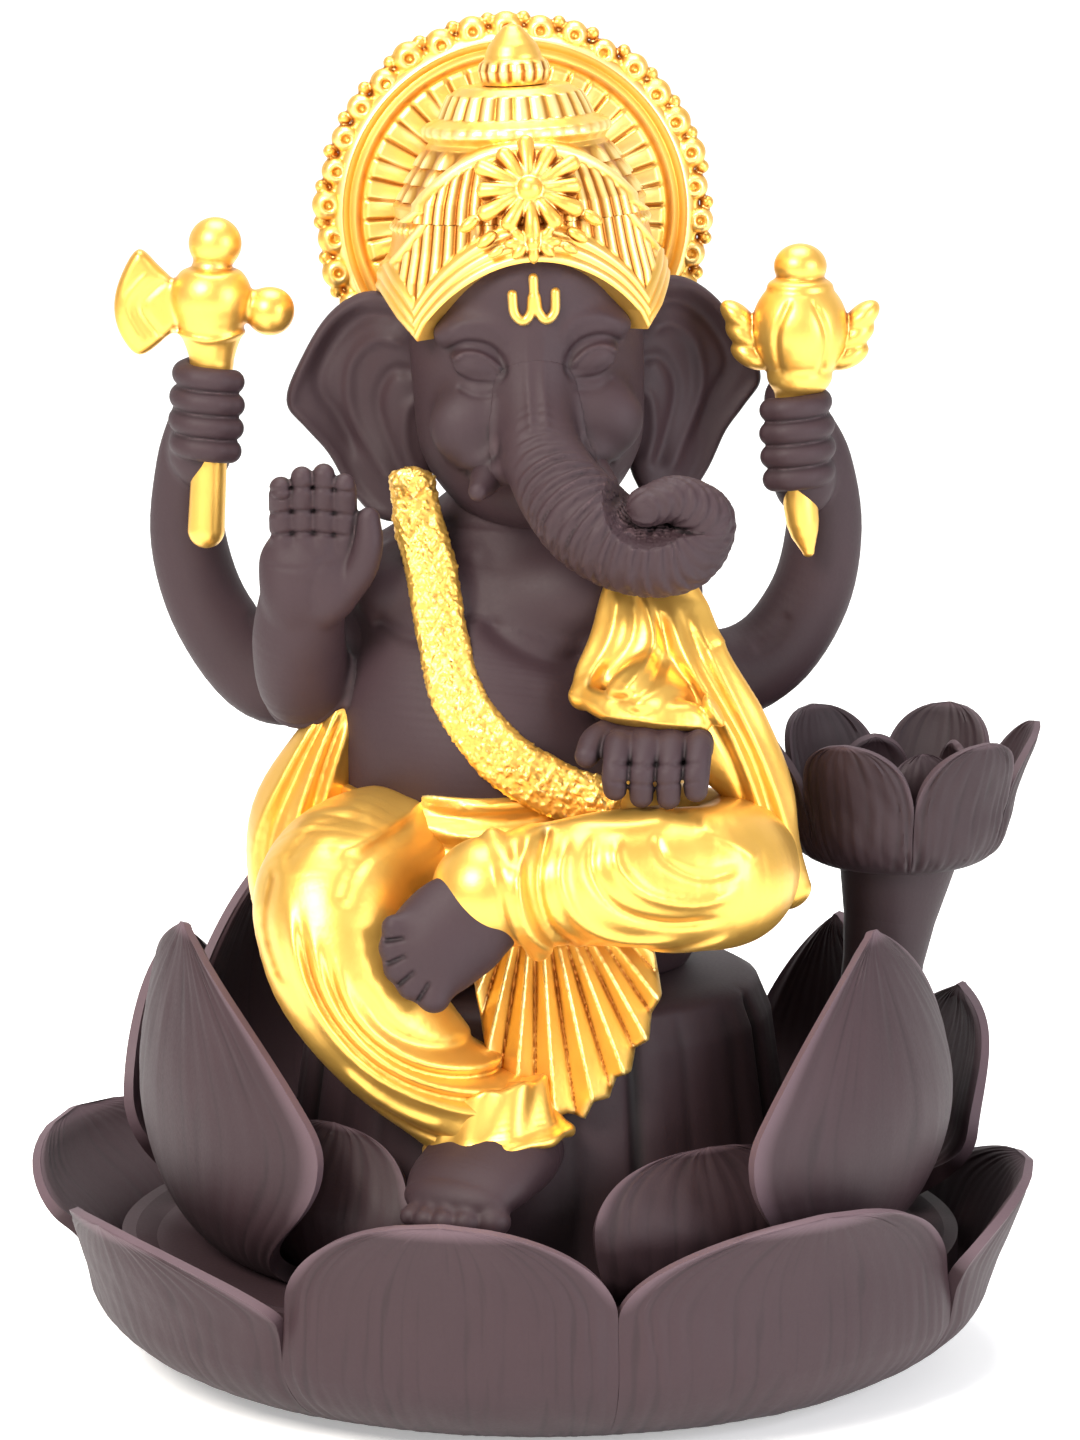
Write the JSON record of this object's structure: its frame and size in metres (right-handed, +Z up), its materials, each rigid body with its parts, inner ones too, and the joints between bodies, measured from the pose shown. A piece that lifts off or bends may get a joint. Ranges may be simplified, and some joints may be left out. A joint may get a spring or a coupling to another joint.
{
  "type": "seated deity statue incense burner",
  "caption": "Seated elephant-headed deity on a lotus base, with a raised lotus bowl beside it for a backflow incense cone.",
  "frame": {"origin": "centre of the flat underside of the foot, which is the face the statue stands on", "axes": "+Z up, along the figure's height; -Y is the front, towards which the figure faces; +X is the viewer's right, where the incense bowl is"},
  "size_m": [0.1443, 0.133, 0.1908],
  "materials": {
    "base_clay": "unglazed stoneware, fine matte grain",
    "petal_clay": "unglazed stoneware, combed veins with edges rubbed lighter",
    "bowl_clay": "unglazed stoneware, fine matte grain",
    "figure_clay": "unglazed stoneware, smoothed by hand",
    "gilding": "gold lustre over glazed ceramic, bright with brown in the hollows",
    "granular_gilding": "gold lustre over a pebbled ceramic band"
  },
  "bodies": {
    "root": {"base_dish": "base_clay", "outer_petal_1": "petal_clay", "outer_petal_2": "petal_clay", "outer_petal_3": "petal_clay", "outer_petal_4": "petal_clay", "outer_petal_5": "petal_clay", "outer_petal_6": "petal_clay", "outer_petal_7": "petal_clay", "tall_petal_1": "petal_clay", "tall_petal_2": "petal_clay", "tall_petal_3": "petal_clay", "tall_petal_4": "petal_clay", "tall_petal_5": "petal_clay", "tall_petal_6": "petal_clay", "tall_petal_7": "petal_clay", "inner_petal_left": "petal_clay", "inner_petal_right": "petal_clay", "seat_pod": "base_clay", "bowl_stalk": "bowl_clay", "cone_bowl": "bowl_clay", "bowl_petal_1": "bowl_clay", "bowl_petal_2": "bowl_clay", "bowl_petal_3": "bowl_clay", "bowl_petal_4": "bowl_clay", "bowl_petal_5": "bowl_clay", "bowl_petal_6": "bowl_clay", "bowl_bud_petals": "bowl_clay", "torso": "figure_clay", "head": "figure_clay", "trunk": "figure_clay", "tusks": "figure_clay", "ear_left": "figure_clay", "ear_right": "figure_clay", "crown_cap": "gilding", "crown_band": "gilding", "crown_finial": "gilding", "crown_medallion": "gilding", "halo_disc": "gilding", "halo_beads": "gilding", "forehead_mark": "gilding", "axe_arm": "figure_clay", "lotus_arm": "figure_clay", "blessing_arm": "figure_clay", "resting_hand": "figure_clay", "battle_axe": "gilding", "lotus_bud": "gilding", "thread_sash": "granular_gilding", "shoulder_drape": "gilding", "waist_wrap": "gilding", "hip_gather": "gilding", "hanging_leg": "gilding", "folded_leg": "gilding", "pleated_apron": "gilding", "ankle_cuff": "gilding", "tucked_foot": "figure_clay", "planted_foot": "figure_clay"}
  },
  "joints": []
}
